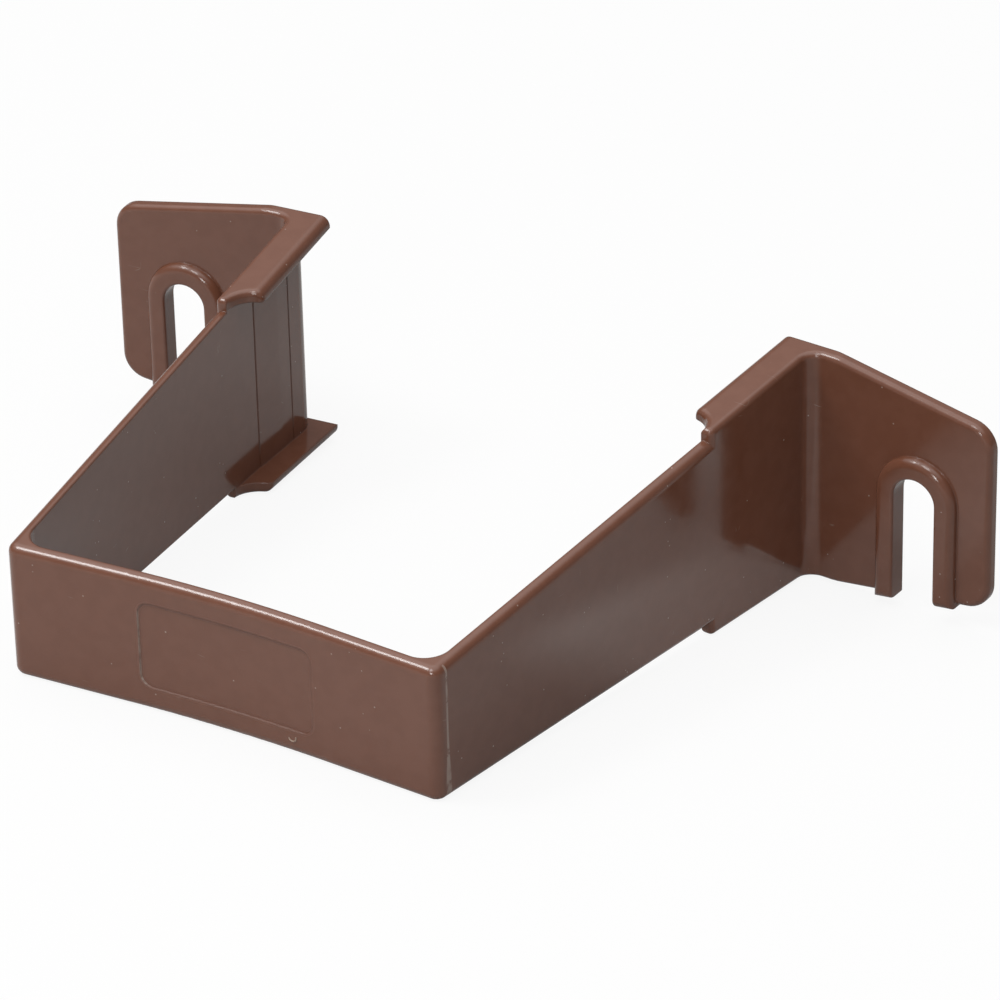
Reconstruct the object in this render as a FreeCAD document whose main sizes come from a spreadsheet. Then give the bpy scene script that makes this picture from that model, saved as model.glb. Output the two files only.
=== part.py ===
import FreeCAD, Part
import Sketcher
import os

# A one-piece moulded downspout clip. The pipe stands in the space behind the bowed band, between
# two splayed arms. +Z runs up along the pipe, -Y faces the viewer and +Y the wall. The origin lies
# on the wall plane, midway between the arms and at their mid-height. Lengths are in millimetres.

SIZES = {
    # the pipe it holds, and the room left round it
    "spout_width": 60.3,
    "spout_depth": 82.6,
    "side_clearance": 0.4,
    "rear_clearance": 0.4,
    # the strap: a bowed band and two arms that grow taller towards the wall
    "wall": 1.7,
    "splay_angle": 5.8,
    "band_height": 19.4,
    "taper_angle": 4.0,
    "bow_angle": 3.8,
    "bow_span": 30.0,
    "corner_outside": 1.6,
    "corner_inside": 3.5,
    "edge_round": 1.25,
    "edge_break": 0.3,
    # the recessed field on the band
    "field_width": 26.0,
    "field_height": 12.6,
    "field_depth": 0.2,
    "field_corner": 1.8,
    # the flanged end of each arm
    "channel_length": 24.6,
    "flange_wall": 1.7,
    "lip_overhang": 3.7,
    "lip_round": 1.4,
    "end_round": 0.8,
    "seat_length": 16.9,
    "seat_rise": 0.1,
    "ramp_angle": 1.6,
    "ramp_end": 10.3,
    "heel_length": 7.1,
    "heel_rise": 0.08,
    "heel_round": 3.8,
    # the ears
    "sweep_angle": 4.6,
    "ear_length": 28.0,
    "ear_wall": 1.7,
    "ear_shoulder": 3.6,
    "shoulder_round": 6.0,
    "ear_top_end": 13.0,
    "ear_foot_end": 13.9,
    "ear_corner": 3.8,
    "root_round": 2.1,
    # the screw slot and its rim
    "slot_offset": 16.9,
    "slot_width": 6.3,
    "rim_width": 3.0,
    "rim_height": 1.25,
    "rim_round": 1.15,
    "rim_drop": 0.4,
    "slot_round": 0.4,
}

# Expressions shared by several features. REACH is the distance from the wall plane to the band's
# outside corners and HALF is half the width there. ROOT is where an arm's outer face meets the back
# of its ear, and LEAN is how far the ear leans back from square to its arm.
HALF = "(sizes.spout_width / 2 + sizes.side_clearance + sizes.wall)"
REACH = "(sizes.spout_depth + sizes.rear_clearance + sizes.wall)"
LIP = "(sizes.wall + sizes.lip_overhang)"
LEAN = "(sizes.splay_angle - sizes.sweep_angle)"
ROOT_Y = f"(-{LIP} * sin(sizes.sweep_angle) / cos({LEAN}))"
ROOT_X = f"({HALF} + ({REACH} + {ROOT_Y}) * tan(sizes.splay_angle))"
ARM_LENGTH = f"(({REACH} + {ROOT_Y}) / cos(sizes.splay_angle))"
RISE = "tan(sizes.taper_angle)"
EAR_HEIGHT = f"(sizes.band_height / 2 + {ARM_LENGTH} * {RISE} + sizes.flange_wall)"
TALL = f"({EAR_HEIGHT} + sizes.wall)"
SPARE = "(2 * sizes.wall)"

# Lengths nearer than CLOSE are equal. A unit direction lies along an axis past ALONG, squarely faces
# it past SQUARE_ON and is turned towards it past TURNED.
CLOSE = 1e-4
ALONG = 0.99
SQUARE_ON = 0.9
TURNED = 0.5


def number(doc, expression):
    """The value that an expression has with the sheet as it stands."""
    value = doc.sizes.evalExpression(expression.replace("sizes.", ""))
    return float(getattr(value, "Value", value))


def make_sheet(doc):
    sheet = doc.addObject("Spreadsheet::Sheet", "sizes")
    for row, (name, value) in enumerate(SIZES.items(), 1):
        sheet.set(f"A{row}", name)
        sheet.set(f"B{row}", str(value))
        sheet.setAlias(f"B{row}", name)
    doc.recompute()
    return sheet


def make_body(doc, name):
    body = doc.addObject("PartDesign::Body", name)
    body.Label = name
    return body


def make_sketch(body, name, plane):
    sketch = body.newObject("Sketcher::SketchObject", name)
    support = [f for f in body.Origin.OriginFeatures if f.Role == plane][0]
    sketch.AttachmentSupport = [(support, "")]
    sketch.MapMode = "FlatFace"
    return sketch


def drive(sketch, constraint, expression):
    """Adds a constraint and binds its value to an expression."""
    index = sketch.addConstraint(constraint)
    sketch.setExpression(f"Constraints[{index}]", expression)


def pin(sketch, geometry, end, x, y):
    """Fixes one end of a piece of geometry at x, y, both given as expressions."""
    doc = sketch.Document
    drive(sketch, Sketcher.Constraint("DistanceX", -1, 1, geometry, end, number(doc, x)), x)
    drive(sketch, Sketcher.Constraint("DistanceY", -1, 1, geometry, end, number(doc, y)), y)


def arc_between(start, finish, radius):
    """An arc from start to finish; it runs anticlockwise about its centre if radius is positive."""
    chord = finish - start
    across = FreeCAD.Vector(-chord.y, chord.x, 0).normalize()
    reach = abs(radius)
    side = 1 if radius > 0 else -1
    centre = (start + finish) / 2 + across * side * (max(reach**2 - chord.Length**2 / 4, 0)) ** 0.5
    outward = ((start + finish) / 2 - centre).normalize()
    return Part.Arc(start, centre + outward * reach, finish)


def draw_loop(sketch, corners):
    """Draws a closed loop. Each corner is x, y and, where an arc leads on from it, a radius."""
    doc = sketch.Document
    places = [FreeCAD.Vector(number(doc, c[0]), number(doc, c[1]), 0) for c in corners]
    following = places[1:] + places[:1]
    pieces = []
    for corner, start, finish in zip(corners, places, following):
        if len(corner) == 3:
            piece = arc_between(start, finish, number(doc, corner[2]))
        else:
            piece = Part.LineSegment(start, finish)
        pieces.append(sketch.addGeometry(piece, False))
    ends = [first_and_last(sketch, piece, start) for piece, start in zip(pieces, places)]
    for place, corner in enumerate(corners):
        piece, (first, last) = pieces[place], ends[place]
        after = (place + 1) % len(corners)
        pin(sketch, piece, first, *corner[:2])
        sketch.addConstraint(Sketcher.Constraint("Coincident", piece, last, pieces[after], ends[after][0]))
        if len(corner) == 3:
            radius = f"abs({corner[2]})"
            drive(sketch, Sketcher.Constraint("Radius", piece, number(doc, radius)), radius)


def first_and_last(sketch, geometry, start):
    """The point numbers of a piece's two ends, the one at start first."""
    return (1, 2) if sketch.getPoint(geometry, 1).distanceToPoint(start) < CLOSE else (2, 1)


def add_feature(body, kind, name, sketch):
    feature = body.newObject(f"PartDesign::{kind}", name)
    feature.Profile = sketch
    return feature


def pad_both_ways(body, name, sketch, length):
    pad = add_feature(body, "Pad", name, sketch)
    pad.Midplane = True
    pad.setExpression("Length", length)
    return pad


def cut_through(body, name, sketch):
    """Removes the sketch's loops right through the body, on both sides of the sketch."""
    before = body.Shape.Volume
    pocket = add_feature(body, "Pocket", name, sketch)
    pocket.Type = "ThroughAll"
    pocket.Midplane = True
    body.Document.recompute()
    check_cut(before, pocket)
    return pocket


def check_cut(before, pocket):
    if pocket.Shape.isNull() or not pocket.Shape.Volume < before:
        raise ValueError(f"{pocket.Name} cuts nothing")


def outward_normals(shape, edge, middle):
    """The outward normals, at a point on an edge, of the faces that meet there."""
    normals = []
    for face in shape.ancestorsOfType(edge, Part.Face):
        normals.append(face.normalAt(*face.Surface.parameter(middle)))
    return normals


def edges_where(shape, chosen):
    """Names of the edges for which chosen(edge, middle, normals) is true."""
    names = []
    for place, edge in enumerate(shape.Edges, 1):
        middle = edge.valueAt((edge.FirstParameter + edge.LastParameter) / 2)
        if chosen(edge, middle, outward_normals(shape, edge, middle)):
            names.append(f"Edge{place}")
    return names


def round_edges(body, name, radius, chosen):
    """Rounds those edges of the body so far that the test picks."""
    doc = body.Document
    doc.recompute()
    names = edges_where(body.Tip.Shape, chosen)
    if not names:
        raise ValueError(f"{name} finds no edge")
    base = body.Tip
    fillet = body.newObject("PartDesign::Fillet", name)
    fillet.Base = (base, names)
    fillet.setExpression("Radius", radius)
    doc.recompute()
    if fillet.Shape.isNull() or not fillet.Shape.isValid():
        raise ValueError(f"{name} can't be rounded")


def upright(edge):
    ends = [v.Point for v in edge.Vertexes]
    return len(ends) == 2 and abs((ends[1] - ends[0]).normalize().z) > ALONG


def make_strap(doc):
    """The bowed band with its two arms, which grow taller towards the wall."""
    body = make_body(doc, "strap")
    strap_plan(body)
    doc.recompute()
    front = -number(doc, REACH)
    round_edges(
        body, "outside_corners", "sizes.corner_outside",
        lambda edge, middle, normals: upright(edge) and middle.y < front + CLOSE,
    )
    inside_y = number(doc, INSIDE_Y)
    round_edges(
        body, "inside_corners", "sizes.corner_inside",
        lambda edge, middle, normals: upright(edge) and abs(middle.y - inside_y) < CLOSE,
    )
    taper_strap(body)
    round_edges(
        body, "outside_edges", "sizes.edge_round",
        lambda edge, middle, normals: is_crown_edge(normals) and is_outside(middle, normals),
    )
    end = number(doc, STRAP_END)
    round_edges(
        body, "inside_edges", "sizes.edge_break",
        lambda edge, middle, normals: is_crown_edge(normals) and not is_outside(middle, normals)
        and middle.y < end - CLOSE,
    )
    sink_field(body)
    return body


BOW = "sizes.bow_angle"
BOW_HALF = "(sizes.bow_span / 2)"
BOW_START = f"(-{REACH} + ({HALF} - {BOW_HALF}) * tan({BOW}))"
BOW_RADIUS = f"({BOW_HALF} / sin({BOW}))"
INSIDE = f"(sizes.wall / cos(sizes.splay_angle - {BOW}))"
INSIDE_X = f"({HALF} + {INSIDE} * (sin(sizes.splay_angle) - cos({BOW})))"
INSIDE_Y = f"(-{REACH} + {INSIDE} * (cos(sizes.splay_angle) + sin({BOW})))"
STRAP_END = "(-(sizes.channel_length + sizes.seat_length) / 2)"


def strap_plan(body):
    sketch = make_sketch(body, "strap_plan", "XY_Plane")
    end_x = f"({HALF} + ({REACH} + {STRAP_END}) * tan(sizes.splay_angle))"
    end_inside = f"({end_x} - sizes.wall / cos(sizes.splay_angle))"
    bow_x = f"({BOW_HALF} + sizes.wall * sin({BOW}))"
    bow_y = f"({BOW_START} + sizes.wall * cos({BOW}))"
    draw_loop(sketch, [
        (f"-{HALF}", f"-{REACH}"),
        (f"-{BOW_HALF}", BOW_START, f"-{BOW_RADIUS}"),
        (BOW_HALF, BOW_START),
        (HALF, f"-{REACH}"),
        (end_x, STRAP_END),
        (end_inside, STRAP_END),
        (INSIDE_X, INSIDE_Y),
        (bow_x, bow_y, f"{BOW_RADIUS} + sizes.wall"),
        (f"-{bow_x}", bow_y),
        (f"-{INSIDE_X}", INSIDE_Y),
        (f"-{end_inside}", STRAP_END),
        (f"-{end_x}", STRAP_END),
    ])
    pad_both_ways(body, "strap_wall", sketch, f"2 * {TALL}")


def taper_strap(body):
    """Trims the strap's top and foot to two planes that part towards the wall."""
    sketch = make_sketch(body, "strap_taper", "YZ_Plane")
    front = f"(-{REACH} - {SPARE})"
    low = f"(sizes.band_height / 2 - {SPARE} * {RISE})"
    high = f"(sizes.band_height / 2 + {REACH} * {RISE})"
    above = f"({TALL} + {SPARE})"
    draw_loop(sketch, [(front, low), ("0", high), ("0", above), (front, above)])
    draw_loop(sketch, [(front, f"-{low}"), ("0", f"-{high}"), ("0", f"-{above}"), (front, f"-{above}")])
    cut_through(body, "strap_trim", sketch)


def sink_field(body):
    """Sinks a rounded rectangle into the band's front, its floor following the bow."""
    plan = make_sketch(body, "field_plan", "XY_Plane")
    half = "(sizes.field_width / 2)"
    radius = f"({BOW_RADIUS} + sizes.field_depth)"
    end = f"({BOW_START} - {BOW_RADIUS} * cos({BOW}) + sqrt({radius} ^ 2 - {half} ^ 2))"
    front = f"(-{REACH} - {SPARE})"
    draw_loop(plan, [(f"-{half}", front), (half, front), (half, end, radius), (f"-{half}", end)])
    body.Document.recompute()
    before = body.Shape.Volume
    pocket = add_feature(body, "Pocket", "field", plan)
    pocket.Midplane = True
    pocket.setExpression("Length", "sizes.field_height")
    body.Document.recompute()
    check_cut(before, pocket)
    corner_x = number(body.Document, half)
    corner_z = number(body.Document, "sizes.field_height / 2")
    round_edges(
        body, "field_corners", "sizes.field_corner",
        lambda edge, middle, normals: abs(abs(middle.x) - corner_x) < CLOSE
        and abs(abs(middle.z) - corner_z) < CLOSE,
    )


def is_crown_edge(normals):
    """True where a top or foot face meets an upright one."""
    steep = [abs(n.z) > TURNED for n in normals]
    return len(steep) == 2 and steep[0] != steep[1]


def upright_normal(normals):
    return min(normals, key=lambda n: abs(n.z))


def is_outside(middle, normals):
    """True on the band's front and on the arms' outer faces."""
    n = upright_normal(normals)
    return n.y < -TURNED or (abs(n.x) > TURNED and n.x * middle.x > 0)


SHOULDER_DROP = f"(({EAR_HEIGHT} - sizes.ear_top_end) / (sizes.ear_length - sizes.ear_shoulder))"
SHOULDER_LIFT = f"(({EAR_HEIGHT} - sizes.ear_foot_end) / (sizes.ear_length - sizes.ear_shoulder))"
# Two rounds meet across the wall's front end, so each may take a little under half the wall.
END_ROUND = "min(sizes.end_round; 0.47 * sizes.wall)"
LIP_ROUND = "min(sizes.lip_round; 0.85 * sizes.flange_wall)"
RIM_ROUND = "min(sizes.rim_round; 0.95 * sizes.rim_height; 0.45 * sizes.rim_width)"
SLOT_HALF = "(sizes.slot_width / 2)"
RIM_HALF = "(sizes.slot_width / 2 + sizes.rim_width)"
# The arm's inner face at the seat's front, along the ramp's end and at the heel, as X in the right
# end's body, how far the heel's round reaches along the faces it joins, and where it meets the ear's
# back.
SEAT = "(-sizes.wall - sizes.seat_rise)"
RAMP_END = f"({SEAT} - (sizes.seat_length - sizes.ramp_end) * tan(sizes.ramp_angle))"
HEEL = f"({RAMP_END} - sizes.heel_rise)"
HEEL_TANGENT = f"(sizes.heel_round * tan((90 - {LEAN}) / 2))"
BACK_X = f"({HEEL} + {HEEL_TANGENT} * cos({LEAN}))"
BACK_Y = f"({HEEL} * tan({LEAN}) + {HEEL_TANGENT} * sin({LEAN}))"


def make_end(doc):
    """The right arm's flanged end with its ear. The body's own origin is at ROOT, with its X
    outward, square to the arm, and its Y along the arm towards the wall."""
    body = make_body(doc, "right_end")
    lips(body)
    wall_and_ear(body)
    trim_flanges(body)
    trim_ear(body)
    round_ear(body)
    screw_rim(body)
    screw_slot(body)
    body.setExpression("Placement.Base.x", ROOT_X)
    body.setExpression("Placement.Base.y", ROOT_Y)
    body.Placement.Rotation = FreeCAD.Rotation(FreeCAD.Vector(0, 0, 1), -1)
    body.setExpression("Placement.Rotation.Angle", "-sizes.splay_angle * 1deg")
    doc.recompute()
    return body


def lips(body):
    """The two lips that turn in from the arm, their front ends scooped out in plan. At the rear they
    reach into the ear, past the heel's round, so that its back is flat along its top and foot."""
    plan = make_sketch(body, "lip_plan", "XY_Plane")
    reach = f"max({BACK_X}; sizes.ear_wall)"
    draw_loop(plan, [
        ("0", "-sizes.channel_length"),
        ("0", "-sizes.ear_wall / 2"),
        (reach, "-sizes.ear_wall / 2"),
        (reach, f"{reach} * tan({LEAN})"),
        (f"-{LIP}", f"-{LIP} * tan({LEAN})"),
        (f"-{LIP}", "-sizes.channel_length"),
    ])
    pad_both_ways(body, "lip_block", plan, f"2 * {TALL}")
    body.Document.recompute()
    scoop = make_sketch(body, "scoop_plan", "XY_Plane")
    circle = Part.Circle(FreeCAD.Vector(-1, -1, 0), FreeCAD.Vector(0, 0, 1), 1)
    ring = scoop.addGeometry(circle, False)
    pin(scoop, ring, 3, f"-{LIP}", "-sizes.channel_length")
    drive(scoop, Sketcher.Constraint("Radius", ring, 1.0), "sizes.lip_overhang")
    cut_through(body, "scoop", scoop)
    channel = make_sketch(body, "channel_side", "YZ_Plane")
    draw_loop(channel, [
        (f"-sizes.channel_length - {SPARE}", web_height(f"-sizes.channel_length - {SPARE}")),
        (SPARE, web_height(SPARE)),
        (SPARE, f"-{web_height(SPARE)}"),
        (f"-sizes.channel_length - {SPARE}", f"-{web_height(f'-sizes.channel_length - {SPARE}')}"),
    ])
    cut_through(body, "channel", channel)


def web_height(y):
    """The arm's half height at y along the arm, measured from ROOT."""
    return f"({EAR_HEIGHT} - sizes.flange_wall + ({y}) * {RISE})"


def wall_and_ear(body):
    """The arm's own wall and the ear that stands out from it, with the round at their root. The
    wall's inner face steps in at the seat, climbs a slight ramp, steps in again at the heel and
    ends in a rounded corner."""
    plan = make_sketch(body, "wall_and_ear_plan", "XY_Plane")
    far = f"(sizes.ear_length + {SPARE})"
    draw_loop(plan, [
        ("-sizes.wall", "-sizes.channel_length"),
        ("0", "-sizes.channel_length"),
        ("0", f"-sizes.ear_wall / cos({LEAN})"),
        (f"{far} * cos({LEAN}) + sizes.ear_wall * sin({LEAN})",
         f"{far} * sin({LEAN}) - sizes.ear_wall * cos({LEAN})"),
        (f"{far} * cos({LEAN})", f"{far} * sin({LEAN})"),
        (BACK_X, BACK_Y, "sizes.heel_round"),
        (HEEL, f"{HEEL} * tan({LEAN}) - {HEEL_TANGENT}"),
        (HEEL, "-sizes.heel_length"),
        (RAMP_END, "-sizes.heel_length"),
        (RAMP_END, "-sizes.ramp_end"),
        (SEAT, "-sizes.seat_length"),
        ("-sizes.wall", "-sizes.seat_length"),
    ])
    pad_both_ways(body, "wall_and_ear", plan, f"2 * {TALL}")
    root_y = number(body.Document, f"-sizes.ear_wall / cos({LEAN})")
    round_edges(
        body, "root", "sizes.root_round",
        lambda edge, middle, normals: upright(edge) and abs(middle.x) < CLOSE
        and abs(middle.y - root_y) < CLOSE,
    )


def trim_flanges(body):
    """Trims the lips, wall and ear to the flanges' outer planes."""
    side = make_sketch(body, "flange_side", "YZ_Plane")
    front = f"(-sizes.channel_length - {SPARE})"
    rear = "sizes.ear_length"
    low = f"({web_height(front)} + sizes.flange_wall)"
    high = f"({web_height(rear)} + sizes.flange_wall)"
    above = f"({TALL} + sizes.ear_length)"
    draw_loop(side, [(front, low), (rear, high), (rear, above), (front, above)])
    draw_loop(side, [(front, f"-{low}"), (rear, f"-{high}"), (rear, f"-{above}"), (front, f"-{above}")])
    cut_through(body, "flange_trim", side)


def ear_sketch(body, name):
    """A sketch on the ear's back plane, X outward along the ear and Y up."""
    sketch = make_sketch(body, name, "XZ_Plane")
    turn = FreeCAD.Rotation(FreeCAD.Vector(0, 1, 0), 1)
    sketch.AttachmentOffset = FreeCAD.Placement(FreeCAD.Vector(), turn)
    sketch.setExpression("AttachmentOffset.Rotation.Angle", f"{LEAN} * 1deg")
    body.Document.recompute()
    return sketch


def trim_ear(body):
    """Cuts the ear to its outline: level at the root, then narrowing to a rounded end."""
    outline = ear_sketch(body, "ear_outline")
    inner = f"(-{LIP})"
    run = f"(sizes.ear_length + {LIP})"
    above = f"({TALL} + sizes.ear_length)"
    far = "(2 * sizes.ear_length)"
    draw_loop(outline, [
        (inner, f"sizes.ear_top_end + {run} * {SHOULDER_DROP}"),
        ("sizes.ear_length", "sizes.ear_top_end"),
        ("sizes.ear_length", "-sizes.ear_foot_end"),
        (inner, f"-sizes.ear_foot_end - {run} * {SHOULDER_LIFT}"),
        (inner, f"-{above}"),
        (far, f"-{above}"),
        (far, above),
        (inner, above),
    ])
    cut_through(body, "ear_trim", outline)
    near_end = number(body.Document, "sizes.ear_length - sizes.ear_wall")
    round_edges(
        body, "ear_corners", "sizes.ear_corner",
        lambda edge, middle, normals: middle.x > near_end and all(abs(n.y) < TURNED for n in normals),
    )


def round_ear(body):
    """Rounds the moulding's outer edges, all but those that lie on the wall."""
    round_edges(
        body, "shoulders", "sizes.shoulder_round",
        lambda edge, middle, normals: len(normals) == 2
        and all(n.z * middle.z > SQUARE_ON * abs(middle.z) for n in normals)
        and CLOSE < abs(normals[0].x - normals[1].x),
    )
    half = number(body.Document, "sizes.ear_length / 2")
    front = number(body.Document, "-sizes.channel_length")

    def is_crown(normal, middle):
        return normal.z * middle.z > TURNED * abs(middle.z) or (middle.x > half and normal.x > TURNED)

    def is_free(middle, normals):
        crowns = [n for n in normals if is_crown(n, middle)]
        return len(crowns) == 1 and all(n.y < SQUARE_ON for n in normals)

    def on_step(edge, middle):
        return upright(edge) and abs(middle.x) < CLOSE and abs(middle.y - front) < CLOSE

    tip = number(body.Document, f"-{LIP}")
    round_edges(
        body, "lip_edges", LIP_ROUND,
        lambda edge, middle, normals: is_free(middle, normals) and abs(middle.x - tip) < CLOSE,
    )
    round_edges(
        body, "moulded_edges", END_ROUND,
        lambda edge, middle, normals: on_step(edge, middle)
        or (is_free(middle, normals) and not is_smooth(normals)),
    )


def is_smooth(normals):
    return len(normals) == 2 and normals[0].dot(normals[1]) > ALONG


def screw_rim(body):
    """The raised rim round the screw slot, standing proud of the ear's front and a little below
    its foot."""
    plan = ear_sketch(body, "rim_outline")
    inner = f"(sizes.slot_offset - {RIM_HALF})"
    outer = f"(sizes.slot_offset + {RIM_HALF})"
    draw_loop(plan, [
        (outer, f"{ear_foot(outer)} - sizes.rim_drop"),
        (outer, "0", RIM_HALF),
        ("sizes.slot_offset", RIM_HALF, RIM_HALF),
        (inner, "0"),
        (inner, f"{ear_foot(inner)} - sizes.rim_drop"),
    ])
    rim = add_feature(body, "Pad", "rim", plan)
    rim.setExpression("Length", "sizes.ear_wall + sizes.rim_height")
    body.Document.recompute()
    proud = number(body.Document, "sizes.ear_wall + sizes.rim_height / 2")
    lean = number(body.Document, LEAN)
    round_edges(
        body, "rim_edges", RIM_ROUND,
        lambda edge, middle, normals: any(n.y < -SQUARE_ON for n in normals)
        and in_front(middle, lean) > proud and middle.x > 0,
    )


def ear_foot(x):
    """The height of the ear's foot at a distance x from ROOT."""
    return f"(-sizes.ear_foot_end - (sizes.ear_length - ({x})) * {SHOULDER_LIFT})"


def in_front(point, lean):
    """How far a point stands in front of the ear's back plane."""
    turn = FreeCAD.Rotation(FreeCAD.Vector(0, 0, 1), -lean)
    return -turn.multVec(point).y


def screw_slot(body):
    """The slot for the screw, open at the ear's foot so that the clip drops over it."""
    plan = ear_sketch(body, "slot_outline")
    inner = f"(sizes.slot_offset - {SLOT_HALF})"
    outer = f"(sizes.slot_offset + {SLOT_HALF})"
    below = f"-{TALL}"
    draw_loop(plan, [
        (outer, below),
        (outer, "0", SLOT_HALF),
        ("sizes.slot_offset", SLOT_HALF, SLOT_HALF),
        (inner, "0"),
        (inner, below),
    ])
    cut_through(body, "slot", plan)
    proud = number(body.Document, "sizes.ear_wall + sizes.rim_height / 2")
    near = number(body.Document, f"{SLOT_HALF} + sizes.rim_width / 4")
    offset = number(body.Document, "sizes.slot_offset")
    lean = number(body.Document, LEAN)
    round_edges(
        body, "slot_edges", "sizes.slot_round",
        lambda edge, middle, normals: any(n.y < -SQUARE_ON for n in normals)
        and in_front(middle, lean) > proud and abs(middle.x - offset) < near,
    )


def main():
    doc = FreeCAD.newDocument("downspout_clip")
    make_sheet(doc)
    strap = make_strap(doc)
    right_end = make_end(doc)
    left_end = doc.addObject("Part::Mirroring", "left_end")
    left_end.Source = right_end
    left_end.Normal = FreeCAD.Vector(1, 0, 0)
    clip = doc.addObject("Part::MultiFuse", "clip")
    clip.Label = "downspout_clip"
    clip.Shapes = [strap, right_end, left_end]
    clip.Refine = True
    doc.recompute()
    check_whole(doc, clip)
    os.makedirs("parts", exist_ok=True)
    clip.Shape.exportStep("parts/downspout_clip.step")


def check_whole(doc, clip):
    """Stops unless each feature has worked and the clip is one sound solid."""
    failed = [item.Name for item in doc.Objects if {"Invalid", "Error"} & set(item.State)]
    if failed:
        raise ValueError(f"not built: {', '.join(failed)}")
    if clip.Shape.isNull() or not clip.Shape.isValid() or len(clip.Shape.Solids) != 1:
        raise ValueError("the clip isn't one sound solid")


main()
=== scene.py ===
# %% [markdown]
# # A moulded downspout clip
# The clip is one piece of brown vinyl, shot into a mould: a bowed band in front, two arms that
# open towards the wall, and a flanged end with a slotted ear on each arm. Its shape is already in
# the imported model, so that solid is loaded as it is and this lesson gives it its finish. All
# lengths in Blender are metres; a name that ends in `_MM` is in millimetres.

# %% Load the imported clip
import math

import bpy
import numpy as np
from mathutils import Matrix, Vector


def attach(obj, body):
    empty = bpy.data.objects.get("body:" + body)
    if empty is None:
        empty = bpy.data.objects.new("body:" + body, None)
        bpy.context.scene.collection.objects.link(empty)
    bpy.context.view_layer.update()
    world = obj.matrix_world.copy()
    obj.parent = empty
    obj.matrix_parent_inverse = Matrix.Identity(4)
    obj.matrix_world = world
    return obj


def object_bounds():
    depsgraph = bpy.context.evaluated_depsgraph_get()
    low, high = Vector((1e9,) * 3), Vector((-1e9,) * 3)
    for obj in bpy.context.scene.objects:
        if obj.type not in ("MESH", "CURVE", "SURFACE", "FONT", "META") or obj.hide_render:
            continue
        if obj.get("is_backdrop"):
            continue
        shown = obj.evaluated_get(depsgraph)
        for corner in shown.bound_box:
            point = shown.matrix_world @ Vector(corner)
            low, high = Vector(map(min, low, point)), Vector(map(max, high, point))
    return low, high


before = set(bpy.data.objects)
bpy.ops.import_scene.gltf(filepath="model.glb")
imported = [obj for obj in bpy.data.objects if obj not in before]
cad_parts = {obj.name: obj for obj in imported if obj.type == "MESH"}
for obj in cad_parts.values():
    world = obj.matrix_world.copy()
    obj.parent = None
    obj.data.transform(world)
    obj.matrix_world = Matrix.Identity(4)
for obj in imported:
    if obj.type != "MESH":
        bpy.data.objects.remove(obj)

MM = 0.001
packed_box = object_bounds()
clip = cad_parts["downspout_clip"]
low, high = (np.array(corner) for corner in packed_box)
print("clip, mm:", np.round((high - low) / MM, 1), "with", len(clip.data.polygons), "faces")

# %% [markdown]
# ## The camera
# The picture looks down on the clip from its front right. A long lens far away keeps the two arms
# nearly parallel, as a catalogue picture does. The camera's place follows from two angles, a
# distance and a point to look past, which reads better than a matrix of bare numbers.

# %% Set up the camera
AZIMUTH, ELEVATION, ROLL = (math.radians(angle) for angle in (31.102, 30.295, 1.337))
DISTANCE_MM = 788.2
TARGET_MM = np.array([0.0, -45.0, 0.0])
TARGET_IN_PICTURE = np.array([-117.5, 33.2])    # pixels right of and below the middle
PICTURE, FOCAL = 1000, 6000.0                   # both in pixels
SENSOR_MM = 36.0
VIEW_ENDS = 10.0                                # metres from the camera


def camera_axes(azimuth, elevation, roll):
    """The unit vectors ahead, to the right and down, of a camera at that azimuth and elevation."""
    ahead = np.array([
        -math.sin(azimuth) * math.cos(elevation),
        math.cos(azimuth) * math.cos(elevation),
        -math.sin(elevation),
    ])
    level = np.cross(ahead, [0, 0, 1])
    level /= np.linalg.norm(level)
    under = np.cross(ahead, level)
    right = level * math.cos(roll) + under * math.sin(roll)
    return ahead, right, under * math.cos(roll) - level * math.sin(roll)


def put(item, right, up, back, place):
    """Places an object with its own X, Y and Z axes along right, up and back."""
    item.matrix_world = Matrix([
        [right[i], up[i], back[i], place[i]] for i in range(3)
    ] + [[0, 0, 0, 1]])


ahead, right, down = camera_axes(AZIMUTH, ELEVATION, ROLL)
aside, below = TARGET_IN_PICTURE / FOCAL
eye = (TARGET_MM - DISTANCE_MM * (ahead + right * aside + down * below)) * MM

camera = bpy.data.objects.new("camera", bpy.data.cameras.new("camera"))
bpy.context.collection.objects.link(camera)
put(camera, right, -down, -ahead, eye)
camera.data.sensor_width = SENSOR_MM
camera.data.lens = FOCAL / PICTURE * SENSOR_MM
camera.data.clip_end = VIEW_ENDS
bpy.context.scene.camera = camera
print("camera at, mm:", np.round(eye / MM, 1))

# %% [markdown]
# ## Tools for nodes
# Every finish here is a tree of shader nodes. These few helpers add a node with its values, and
# name the sums that come back again and again, so that each tree below reads as a recipe.

# %% Add, feed and join nodes


def new_material(name):
    """A material with nodes. It starts with a Principled shader on its output."""
    material = bpy.data.materials.new(name)
    material.use_nodes = True
    return material


def feed(tree, entry, value):
    """Gives an input its value: a socket is linked, and a number or colour is set on it."""
    if isinstance(value, bpy.types.NodeSocket):
        tree.links.new(value, entry)
    else:
        entry.default_value = value


def add(tree, kind, inputs=None, **settings):
    """Adds a node, sets its properties, then feeds its inputs, named or numbered."""
    node = tree.nodes.new(f"ShaderNode{kind}")
    for name, value in settings.items():
        setattr(node, name, value)
    for name, value in (inputs or {}).items():
        feed(tree, node.inputs[name], value)
    return node


def calculate(tree, operation, first, second=0.0):
    return add(tree, "Math", {0: first, 1: second}, operation=operation).outputs[0]


def product(tree, first, *others):
    for other in others:
        first = calculate(tree, "MULTIPLY", first, other)
    return first


def distance(tree, value, middle):
    """How far a value is from the middle, on either side."""
    return calculate(tree, "ABSOLUTE", calculate(tree, "SUBTRACT", value, middle))


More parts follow.
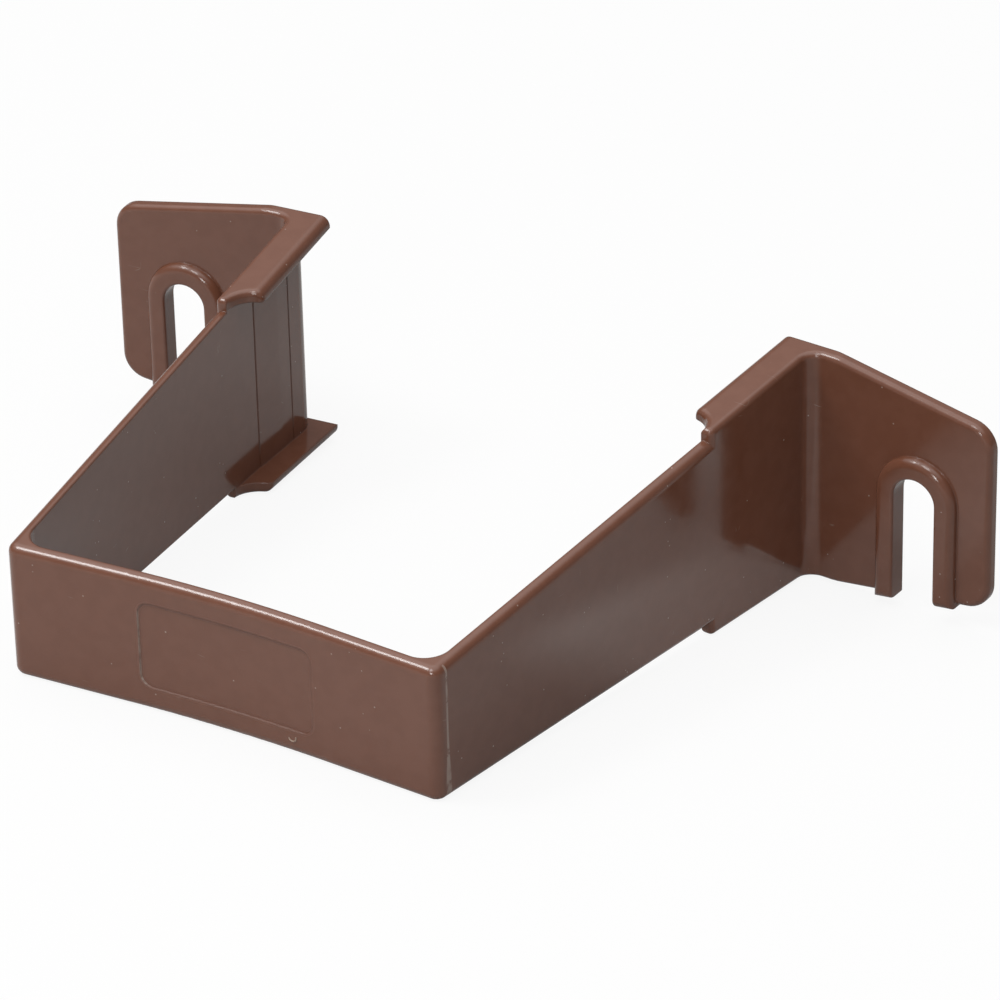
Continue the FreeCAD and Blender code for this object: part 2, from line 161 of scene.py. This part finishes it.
def split(tree, vector):
    """The X, Y and Z of a vector, by name."""
    return add(tree, "SeparateXYZ", {0: vector}).outputs


def reach(tree, vector, way):
    """How far a vector reaches along a fixed way: their dot product."""
    node = add(tree, "VectorMath", {0: vector, 1: way}, operation="DOT_PRODUCT")
    return node.outputs["Value"]


def ramp(tree, value, start, end, low=0.0, high=1.0):
    """Maps a value from start..end to low..high, smoothly and clamped."""
    limits = {"From Min": start, "From Max": end, "To Min": low, "To Max": high}
    node = add(tree, "MapRange", {"Value": value, **limits}, interpolation_type="SMOOTHSTEP")
    return node.outputs["Result"]


def mix_colours(tree, share, first, second):
    """Goes from the first colour to the second as the share goes from 0 to 1."""
    inputs = {"Factor": share, "A": first, "B": second}
    return add(tree, "Mix", inputs, data_type="RGBA").outputs["Result"]


def noise(tree, where, scale, detail=2.0, distortion=0.0):
    """Noise about 0.5, whose swells are about 1 / scale metres across."""
    settings = {"Vector": where, "Scale": scale, "Detail": detail, "Distortion": distortion}
    return add(tree, "TexNoise", settings).outputs["Fac"]


def node_group(name, exits, **entries):
    """A shader node group: it takes a Vector and the named numbers, and puts out the exits."""
    group = bpy.data.node_groups.new(name, "ShaderNodeTree")
    group.interface.new_socket("Vector", in_out="INPUT", socket_type="NodeSocketVector")
    for socket, value in entries.items():
        item = group.interface.new_socket(socket, in_out="INPUT", socket_type="NodeSocketFloat")
        item.default_value = value
    for socket in exits:
        group.interface.new_socket(socket, in_out="OUTPUT", socket_type="NodeSocketFloat")
    start = group.nodes.new("NodeGroupInput")
    finish = group.nodes.new("NodeGroupOutput")
    return group, start.outputs, finish.inputs


# %% [markdown]
# ## A floor to rest on
# Laid down, the clip touches the floor with the lower edges of its two flanged ends and with the
# band's foot, which is narrower. So the floor is turned about X until it touches both, as a table
# would once the clip has tipped forward. The floor is a grid worked out from two parameters.

# %% Work out the floor's plane
REAR_FROM, FRONT_UP_TO = -30 * MM, -60 * MM     # the two parts of the clip, along Y
TURNS = 20

corners = np.empty(len(clip.data.vertices) * 3)
clip.data.vertices.foreach_get("co", corners)
corners = corners.reshape(-1, 3)


def resting_plane(points):
    """The slope and height of the plane that touches the points from below, front and rear.

    Seen along X the plane is the line z = height + slope * y. It is turned about the lowest points
    of the rear and of the front, by turns, until neither part lies below it."""
    rear = points[points[:, 1] > REAR_FROM]
    front = points[points[:, 1] < FRONT_UP_TO]
    slope = 0.0
    for _ in range(TURNS):
        foot = rear[np.argmin(rear[:, 2] - slope * rear[:, 1])]
        toe = front[np.argmin(front[:, 2] - slope * front[:, 1])]
        slope = (foot[2] - toe[2]) / (foot[1] - toe[1])
    return slope, foot[2] - slope * foot[1]


floor_slope, floor_height = resting_plane(corners)
print("floor falls", round(-math.degrees(math.atan(floor_slope)), 2), "degrees towards the rear")

# %% Make the floor


def grid_mesh(name, surface):
    """A mesh of the points in surface, an array rows x columns x 3, joined in quads.

    Quad (i, j) joins points (i, j), (i, j + 1), (i + 1, j + 1) and (i + 1, j)."""
    rows, columns, _ = surface.shape
    numbers = np.arange(rows * columns).reshape(rows, columns)
    quads = [numbers[:-1, :-1], numbers[:-1, 1:], numbers[1:, 1:], numbers[1:, :-1]]
    mesh = bpy.data.meshes.new(name)
    mesh.from_pydata(surface.reshape(-1, 3), [], np.stack(quads, axis=-1).reshape(-1, 4).tolist())
    piece = bpy.data.objects.new(name, mesh)
    bpy.context.collection.objects.link(piece)
    return piece


def floor_surface(half, steps):
    """Point (u, v) lies at x = u, y = v on the resting plane, for u and v from -half to half."""
    line = np.linspace(-half, half, steps)
    v, u = np.meshgrid(line, line, indexing="ij")
    return np.stack([u, v, floor_height + floor_slope * v], axis=-1)


floor = grid_mesh("floor", floor_surface(half=3.0, steps=13))
floor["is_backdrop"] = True
print("floor:", len(floor.data.polygons), "faces")

# %% [markdown]
# The floor is a pale matt board. To the camera it is mostly a plain white glow, so that it reads
# as white paper and yet still darkens a little where the clip shades it. Glossy vinyl mirrors the
# board, and there the board's real light matters more, so the mirror gets much less of the glow.
# The board is palest at the front left, near the brightest soft box, and has painted shade under
# and behind the clip, which keeps the faces of the arms darker than the band. Along the right arm,
# where the clip shades the board, a strip of painted light throws light back on the right ear. The
# camera itself is shown neither the painted shade nor the painted light.

# %% Paint the floor
PALE_BOARD = (0.54, 0.54, 0.535, 1)
# painted shade: the board's grey under and behind the clip, hidden from the camera
PAINTED_SHADE_TONE = (0.35, 0.35, 0.346, 1)
# painted light: the pale strip along the right arm, hidden from the camera
PAINTED_LIGHT_TONE = (0.74, 0.74, 0.73, 1)
WHITE = (1, 1, 1, 1)
BOARD_ROUGHNESS, BOARD_GLEAM = 0.9, 0.1
TOWARDS_PAINTED_SHADE = (0.62, 0.78, 0.0)                # across the board, from its pale side to its grey
PALE_UP_TO, PAINTED_SHADE_FROM = -62 * MM, -27 * MM      # along that way
# where the strip of painted light lies, along the right arm
PAINTED_LIGHT_MIDDLE_X, PAINTED_LIGHT_FULL, PAINTED_LIGHT_GONE = 46 * MM, 5 * MM, 13 * MM
PAINTED_LIGHT_STARTS_Y, PAINTED_LIGHT_FULL_FROM_Y = -54 * MM, -34 * MM
PAINTED_LIGHT_FULL_UP_TO_Y, PAINTED_LIGHT_GONE_BY_Y = -5 * MM, 12 * MM
GLOW_SEEN, GLOW_MIRRORED = 0.9, 0.12            # the glow's share, to the camera and in a mirror

board = new_material("pale_board")
tree = board.node_tree
ray = add(tree, "LightPath").outputs
unseen = calculate(tree, "SUBTRACT", 1.0, ray["Is Camera Ray"])
where = add(tree, "TexCoord").outputs["Object"]
place = split(tree, where)
# painted shade: the board greys under and behind the clip, for every ray but the camera's
painted_shade_mask = product(
    tree, ramp(tree, reach(tree, where, TOWARDS_PAINTED_SHADE), PALE_UP_TO, PAINTED_SHADE_FROM), unseen,
)
# painted light: a pale strip along the right arm, where the clip shades the board
painted_light_mask = product(
    tree,
    ramp(tree, distance(tree, place["X"], PAINTED_LIGHT_MIDDLE_X), PAINTED_LIGHT_GONE, PAINTED_LIGHT_FULL),
    ramp(tree, place["Y"], PAINTED_LIGHT_GONE_BY_Y, PAINTED_LIGHT_FULL_UP_TO_Y),
    ramp(tree, place["Y"], PAINTED_LIGHT_STARTS_Y, PAINTED_LIGHT_FULL_FROM_Y),
    unseen,
)
tone = mix_colours(tree, painted_light_mask, mix_colours(tree, painted_shade_mask, PALE_BOARD, PAINTED_SHADE_TONE), PAINTED_LIGHT_TONE)
matt = tree.nodes["Principled BSDF"]
feed(tree, matt.inputs["Base Color"], tone)
matt.inputs["Roughness"].default_value = BOARD_ROUGHNESS
matt.inputs["Specular IOR Level"].default_value = BOARD_GLEAM
seen = product(tree, ray["Is Camera Ray"], GLOW_SEEN)
mirrored = product(tree, ray["Is Glossy Ray"], GLOW_MIRRORED)
glow = add(tree, "Emission", {"Color": WHITE})
blend = add(tree, "MixShader", {
    "Fac": calculate(tree, "MAXIMUM", seen, mirrored), 1: matt.outputs[0], 2: glow.outputs[0],
})
feed(tree, tree.nodes["Material Output"].inputs["Surface"], blend.outputs[0])
floor.data.materials.append(board)
print("material", board.name, "with", len(tree.nodes), "nodes")

# %% [markdown]
# ## Soft studio light
# Glossy plastic shows what stands round it, so the light is set by what its rounded edges mirror.
# Three soft boxes stand before the clip. A bright one, high at the left, draws the long highlight
# on the band's top round. A dimmer one, high in the middle, and a small one, lower down in front,
# draw the bright dots at the corners and on the rims of the slots. The room does the rest: its
# walls are dim, its ceiling is bright, more so towards the left, and its front is a little
# brighter than its back.

# %% Place the soft boxes
LAMP_DISTANCE = 1.0


def soft_box(name, azimuth, elevation, size, brightness):
    """A square area lamp that faces the clip, its azimuth counted from the front to the right.

    Its brightness is counted as the strength of an Emission shader is. A lamp's power is that
    brightness times pi times its area."""
    azimuth, elevation = math.radians(azimuth), math.radians(elevation)
    back = np.array([
        math.sin(azimuth) * math.cos(elevation),
        -math.cos(azimuth) * math.cos(elevation),
        math.sin(elevation),
    ])
    side = np.cross([0, 0, 1], back)
    side /= np.linalg.norm(side)
    lamp = bpy.data.objects.new(name, bpy.data.lights.new(name, "AREA"))
    bpy.context.collection.objects.link(lamp)
    lamp.data.shape = "SQUARE"
    lamp.data.size = size
    lamp.data.energy = brightness * math.pi * size ** 2
    lamp.visible_camera = False
    put(lamp, side, np.cross(back, side), back, back * LAMP_DISTANCE + TARGET_MM * MM)
    return lamp


for lamp in (
    soft_box("high_left_box", azimuth=-55, elevation=58, size=0.28, brightness=15),
    soft_box("high_front_box", azimuth=0, elevation=62, size=0.3, brightness=7),
    soft_box("front_box", azimuth=15, elevation=28, size=0.2, brightness=15),
):
    print(lamp.name, round(lamp.data.energy, 2), "watt")

# %% Fill the room
WALLS, CEILING, FRONT_WALL = 0.24, 2.2, 0.12
TOWARDS_CEILING = (-0.17, 0.0, 1.0)             # up, and a little to the left
WALLS_UP_TO, CEILING_FROM = 0.52, 0.97          # along that way
FRONT_FROM_Y, FRONT_FULL_Y = 0.2, -0.9
SEEN_WHITE = 1.0                                # what the camera sees behind the floor

room = bpy.data.worlds.new("studio")
bpy.context.scene.world = room
room.use_nodes = True
tree = room.node_tree
towards = add(tree, "TexCoord").outputs["Generated"]
above = ramp(
    tree, reach(tree, towards, TOWARDS_CEILING), WALLS_UP_TO, CEILING_FROM, WALLS, CEILING,
)
in_front = ramp(tree, split(tree, towards)["Y"], FRONT_FROM_Y, FRONT_FULL_Y, 0.0, FRONT_WALL)
shown = add(tree, "Mix", {
    "Factor": add(tree, "LightPath").outputs["Is Camera Ray"],
    "A": calculate(tree, "ADD", above, in_front),
    "B": SEEN_WHITE,
})
background = tree.nodes["Background"]
background.inputs["Color"].default_value = WHITE
feed(tree, background.inputs["Strength"], shown.outputs["Result"])
bpy.context.scene.view_settings.view_transform = "Standard"
print("world", room.name, "with", len(tree.nodes), "nodes")

# %% [markdown]
# ## The mark of the gate
# Near the foot of the band a tiny ridge, curved like a U, stands where the runner was cut off. It
# is far too small for the solid, so it is made here, as a thin tube along a bent line, half sunk
# into the face. Its section shrinks to nothing at both ends, which closes it.

# %% Make the gate mark
GATE_MM = np.array([9.75, -83.3, -7.35])
GATE_RADIUS_MM, RIDGE_MM = 0.55, 0.1
FACE_SLOPE = -0.042      # the bowed face's change in y for each step in x, at the gate


def tube_mesh(name, rings):
    """A closed mesh of rings, an array along x around x 3 whose first and last rings are points.

    The rings are joined in quads, and each end in a fan of triangles about its point."""
    along, around, _ = rings.shape
    numbers = 1 + np.arange((along - 2) * around).reshape(along - 2, around)
    turned = np.roll(numbers, -1, axis=1)
    quads = np.stack([numbers[:-1], turned[:-1], turned[1:], numbers[1:]], axis=-1).reshape(-1, 4)
    last = (along - 2) * around + 1
    start = np.stack([np.zeros(around, int), turned[0], numbers[0]], axis=-1)
    finish = np.stack([np.full(around, last), numbers[-1], turned[-1]], axis=-1)
    points = np.vstack([rings[0, :1], rings[1:-1].reshape(-1, 3), rings[-1, :1]])
    mesh = bpy.data.meshes.new(name)
    mesh.from_pydata(points, [], quads.tolist() + start.tolist() + finish.tolist())
    mesh.shade_smooth()
    piece = bpy.data.objects.new(name, mesh)
    bpy.context.collection.objects.link(piece)
    return piece


def gate_ridge(start, finish, along, around):
    """Point (u, v): go along a circle in the face to the angle u, then out from that line by the
    ridge's radius at the angle v. The radius is full in the middle and falls to nothing at the
    ends as the square root of 1 - t ** 8, where t runs from -1 to 1."""
    t = np.linspace(-1, 1, along)[:, None]
    u = np.radians(start + (finish - start) * (t + 1) / 2)
    v = np.linspace(0, 2 * np.pi, around, endpoint=False)[None, :]
    radius = RIDGE_MM * np.sqrt(1 - t ** 8)
    outward = GATE_RADIUS_MM + radius * np.cos(v)
    x, z = outward * np.cos(u), outward * np.sin(u)
    y = FACE_SLOPE * x - radius * np.sin(v)
    return (GATE_MM + np.stack([x, y, z], axis=-1)) * MM


gate_mark = tube_mesh("gate_mark", gate_ridge(start=190, finish=385, along=33, around=16))
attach(gate_mark, "root")
print("gate mark:", len(gate_mark.data.polygons), "faces")

# %% [markdown]
# ## Brown vinyl
# Moulded vinyl is a smooth, glossy plastic. Close up it is never quite even: the surface swells
# and sinks by hundredths of a millimetre as it cools, the pigment is a little streaky, and a clip
# that has been in a shop's bin carries dust and hair scratches. Each of these is a small group of
# nodes that works in Object coordinates, so that it stays on the clip from any side.
#
# The first group is the surface's own unevenness. Two noises are added: long swells, several
# millimetres across, and a much finer skin. The group puts out a height, which the material hands
# to a Bump node, and a slow mottle for the colour.

# %% Sink marks and skin
SKIN_SHARE = 0.03        # the skin's height, as a share of the swells'

uneven, start, finish = node_group("moulded_skin", exits=["Height", "Mottle"])
where = start["Vector"]
swell = noise(uneven, where, scale=110, detail=1.0)
skin = product(uneven, noise(uneven, where, scale=2200, detail=2.0), SKIN_SHARE)
feed(uneven, finish["Height"], calculate(uneven, "ADD", swell, skin))
feed(uneven, finish["Mottle"], noise(uneven, where, scale=420, detail=3.0))
print("group", uneven.name)

# %% [markdown]
# The second group is what handling leaves: specks of dust from a cell texture, of which only a
# few cells are picked, and hair scratches, which are thin bands of a stretched, bent noise.

# %% Dust and scratches
SPECK_CORE = 0.4                                # the share of a speck's radius that is solid
HAIR_STRETCH, HAIR_BEND = (0.12, 1.0, 1.0), 0.4
NOISE_MIDDLE, HAIR_HALF_WIDTH = 0.5, 0.006      # both in the noise's value
NO_HAIRS_BELOW, HAIRS_ABOVE = 0.68, 0.76        # in the noise that picks their places


def specks(tree, where, scale, radius, share):
    """Round specks: near a cell's middle, where the cell's random number is under the share."""
    cells = add(tree, "TexVoronoi", {"Vector": where, "Scale": scale}, feature="F1")
    near = ramp(tree, cells.outputs["Distance"], radius, radius * SPECK_CORE)
    chance = add(tree, "SeparateColor", {0: cells.outputs["Color"]}).outputs[0]
    return product(tree, near, calculate(tree, "LESS_THAN", chance, share))


def hairs(tree, where, turn, scale):
    """Thin lines: where a stretched and bent noise crosses its middle value, in a few places."""
    laid = add(tree, "Mapping", {"Vector": where, "Rotation": turn, "Scale": HAIR_STRETCH})
    value = noise(tree, laid.outputs[0], scale=scale, detail=0.0, distortion=HAIR_BEND)
    line = ramp(tree, distance(tree, value, NOISE_MIDDLE), HAIR_HALF_WIDTH, 0.0)
    here = ramp(tree, noise(tree, where, scale=320, detail=1.0), NO_HAIRS_BELOW, HAIRS_ABOVE)
    return product(tree, line, here)


handling, start, finish = node_group("handling_marks", exits=["Dust", "Scratches"], Share=0.1)
where, share = start["Vector"], start["Share"]
fine = specks(handling, where, scale=1100, radius=0.16, share=share)
coarse = specks(handling, where, scale=330, radius=0.06, share=share)
feed(handling, finish["Dust"], calculate(handling, "MAXIMUM", fine, coarse))
steep = hairs(handling, where, turn=(0.3, 0.9, 0.2), scale=260)
shallow = hairs(handling, where, turn=(1.2, -0.3, 2.1), scale=210)
feed(handling, finish["Scratches"], calculate(handling, "MAXIMUM", steep, shallow))
print("group", handling.name)

# %% [markdown]
# The third group is the witness line: down each front corner, where the corner's round ends on
# the arm, two blocks of the mould met and left a pale, broken line, wider towards the foot. It is
# a band about a fixed y, taken only near the arm's outer face.

# %% The mould's witness line
LINE_Y, LINE_FROM_X = -82.6 * MM, 31.9 * MM
NARROW, WIDE = 0.25 * MM, 0.75 * MM
BAND_HALF = 9.5 * MM
LINE_CORE = 0.4                                 # the share of the line's half width that is solid
BROKEN_BELOW, WHOLE_ABOVE = 0.36, 0.56          # in the noise that breaks the line
LEFT_WHERE_BROKEN = 0.25

witness, start, finish = node_group("witness_line", exits=["Line"])
where = start["Vector"]
place = split(witness, where)
width = ramp(witness, place["Z"], 0.0, -BAND_HALF, NARROW, WIDE)
off = calculate(witness, "DIVIDE", distance(witness, place["Y"], LINE_Y), width)
outer = calculate(witness, "ABSOLUTE", place["X"])
line = product(
    witness,
    ramp(witness, off, 1.0, LINE_CORE),
    calculate(witness, "GREATER_THAN", outer, LINE_FROM_X),
    ramp(
        witness, noise(witness, where, scale=700, detail=3.0),
        BROKEN_BELOW, WHOLE_ABOVE, LEFT_WHERE_BROKEN, 1.0,
    ),
)
feed(witness, finish["Line"], line)
print("group", witness.name)

# %% [markdown]
# The fourth group works round the shallow field in the band. Its edge is dull all round, and a
# painted highlight makes it pale at the left, most at the lower corner. The mask is a narrow band
# about the outline of a rounded rectangle: the distance to it is that of a point to the smaller
# rectangle inside the four rounds, less their radius.

# %% The outline of the field
FIELD_HALF_X, FIELD_HALF_Z, FIELD_ROUND = 13.0 * MM, 6.3 * MM, 1.8 * MM
FACE_FROM_Y = -82.4 * MM                        # keeps the mask off the band's inner face

wear_and_highlight, start, finish = node_group("field_wear_and_highlight", exits=["Wear", "Outline"])
where = start["Vector"]
place = split(wear_and_highlight, where)


def beyond(tree, value, limit):
    """How far the value, plus or minus, lies beyond the limit, or 0."""
    size = calculate(tree, "ABSOLUTE", value)
    return calculate(tree, "MAXIMUM", calculate(tree, "SUBTRACT", size, limit), 0.0)


out_x = beyond(wear_and_highlight, place["X"], FIELD_HALF_X - FIELD_ROUND)
out_z = beyond(wear_and_highlight, place["Z"], FIELD_HALF_Z - FIELD_ROUND)
away = add(wear_and_highlight, "CombineXYZ", {0: out_x, 2: out_z}).outputs[0]
away = add(wear_and_highlight, "VectorMath", {0: away}, operation="LENGTH").outputs["Value"]
off = distance(wear_and_highlight, away, FIELD_ROUND)
on_face = calculate(wear_and_highlight, "LESS_THAN", place["Y"], FACE_FROM_Y)
print("field, mm:", round(2 * FIELD_HALF_X / MM, 1), "x", round(2 * FIELD_HALF_Z / MM, 1))

# %% Dulling and a painted highlight along the outline
HIGHLIGHT_HALF, DULL_HALF = 0.16 * MM, 0.48 * MM   # half widths, of the pale line and the dull one
LEFT_END_X, HIGHLIGHT_ELSEWHERE = -11.5 * MM, 0.08
UNDER_TOP_Z, HIGHLIGHT_AT_TOP = 4.0 * MM, 0.15
PATCH_LOW, PATCH_HIGH, PATCH_LEAST = 0.3, 0.6, 0.2
CORNER_FROM_X, CORNER_FULL_X = -11.0 * MM, -12.4 * MM
CORNER_FROM_Z, CORNER_FULL_Z = -4.9 * MM, -5.6 * MM
CORNER_HIGHLIGHT_EXTRA = 1.4

dulled = product(wear_and_highlight, ramp(wear_and_highlight, off, DULL_HALF, HIGHLIGHT_HALF), on_face)
feed(wear_and_highlight, finish["Outline"], dulled)
# painted highlight: a pale line on the field's edge, mostly at the left
painted_highlight_mask = product(
    wear_and_highlight,
    ramp(wear_and_highlight, off, HIGHLIGHT_HALF, 0.0),
    ramp(wear_and_highlight, place["X"], LEFT_END_X, -FIELD_HALF_X, HIGHLIGHT_ELSEWHERE, 1.0),
    ramp(wear_and_highlight, place["Z"], FIELD_HALF_Z, UNDER_TOP_Z, HIGHLIGHT_AT_TOP, 1.0),
    on_face,
    ramp(
        wear_and_highlight, noise(wear_and_highlight, where, scale=900, detail=3.0), PATCH_LOW, PATCH_HIGH, PATCH_LEAST, 1.0,
    ),
)
# the painted highlight is strongest at the field's lower left corner
corner = product(
    wear_and_highlight,
    ramp(wear_and_highlight, place["X"], CORNER_FROM_X, CORNER_FULL_X),
    ramp(wear_and_highlight, place["Z"], CORNER_FROM_Z, CORNER_FULL_Z),
    CORNER_HIGHLIGHT_EXTRA,
)
feed(wear_and_highlight, finish["Wear"], product(wear_and_highlight, painted_highlight_mask, calculate(wear_and_highlight, "ADD", 1.0, corner)))
print("group", wear_and_highlight.name)

# %% [markdown]
# The vinyl itself is a Principled shader. Its own sockets hold what is the same all over, and the
# groups drive the colour, the roughness and the bump. A Bevel node softens the light on edges
# that the mould left nearly sharp, so that they glint as real ones do. The recipe is a function,
# because the gate mark is the same vinyl, only torn, which turns it pale and dull.

# %% Mix the vinyl
# pale: the colour of dust, scratches and the witness line, and of the painted highlight
MARK_AND_HIGHLIGHT_COLOUR = (0.36, 0.30, 0.26, 1)
MARK_AND_HIGHLIGHT_STRENGTH, SCRATCH_STRENGTH = 0.5, 0.5
DUST_SHARE = 0.05                               # of the cells hold a speck
MOTTLE_LOW, MOTTLE_HIGH = 0.35, 0.65
WORN_ROUGHNESS = 0.35                           # added where the vinyl is marked or dull
EDGE_ROUND, EDGE_SAMPLES = 0.3 * MM, 4
BUMP_HEIGHT, BUMP_STRENGTH = 0.02 * MM, 0.3
VINYL_IOR = 1.5


def moulded_vinyl(name, dark, light, smooth, dull):
    """Glossy vinyl between two close colours, its roughness from smooth to dull, with marks and a
    painted highlight.
    """
    material = new_material(name)
    tree = material.node_tree
    where = add(tree, "TexCoord").outputs["Object"]
    skin, marks, line, rub_and_highlight = (
        add(tree, "Group", {"Vector": where}, node_tree=group)
        for group in (uneven, handling, witness, wear_and_highlight)
    )
    marks.inputs["Share"].default_value = DUST_SHARE
    marks_and_highlight = product(tree, marks.outputs["Scratches"], SCRATCH_STRENGTH)
    # the field's mask is a painted highlight, mixed in like the marks
    for mask in (marks.outputs["Dust"], line.outputs["Line"], rub_and_highlight.outputs["Wear"]):
        marks_and_highlight = calculate(tree, "MAXIMUM", marks_and_highlight, mask)
    mottle = skin.outputs["Mottle"]
    colour = mix_colours(tree, ramp(tree, mottle, MOTTLE_LOW, MOTTLE_HIGH), dark, light)
    colour = mix_colours(tree, product(tree, marks_and_highlight, MARK_AND_HIGHLIGHT_STRENGTH), colour, MARK_AND_HIGHLIGHT_COLOUR)
    gloss = ramp(tree, mottle, MOTTLE_LOW, MOTTLE_HIGH, smooth, dull)
    worn_and_highlit = calculate(tree, "MAXIMUM", marks_and_highlight, rub_and_highlight.outputs["Outline"])
    rough = calculate(tree, "ADD", gloss, product(tree, worn_and_highlit, WORN_ROUGHNESS))
    edge = add(tree, "Bevel", {"Radius": EDGE_ROUND}, samples=EDGE_SAMPLES)
    bump = add(tree, "Bump", {
        "Strength": BUMP_STRENGTH,
        "Distance": BUMP_HEIGHT,
        "Height": skin.outputs["Height"],
        "Normal": edge.outputs["Normal"],
    })
    plastic = tree.nodes["Principled BSDF"]
    plastic.inputs["IOR"].default_value = VINYL_IOR
    feed(tree, plastic.inputs["Base Color"], colour)
    feed(tree, plastic.inputs["Roughness"], rough)
    feed(tree, plastic.inputs["Normal"], bump.outputs["Normal"])
    print("material", name, "with", len(tree.nodes), "nodes")
    return material


# %% Put it on the pieces
vinyl = moulded_vinyl(
    "brown_vinyl",
    dark=(0.112, 0.0425, 0.0245, 1), light=(0.119, 0.0465, 0.0275, 1),
    smooth=0.10, dull=0.13,
)
torn_vinyl = moulded_vinyl(
    "torn_vinyl",
    dark=(0.24, 0.16, 0.12, 1), light=(0.30, 0.22, 0.17, 1),
    smooth=0.30, dull=0.45,
)
for number in range(len(clip.data.materials)):
    clip.data.materials[number] = vinyl
gate_mark.data.materials.append(torn_vinyl)

# %% [markdown]
# ## Measure and finish
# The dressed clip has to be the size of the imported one.

# %% Write the sizes and finish
boxes = {"packed": packed_box, "dressed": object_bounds()}
boxes = {
    name: [[float(value) for value in corner] for corner in box] for name, box in boxes.items()
}
print(boxes)
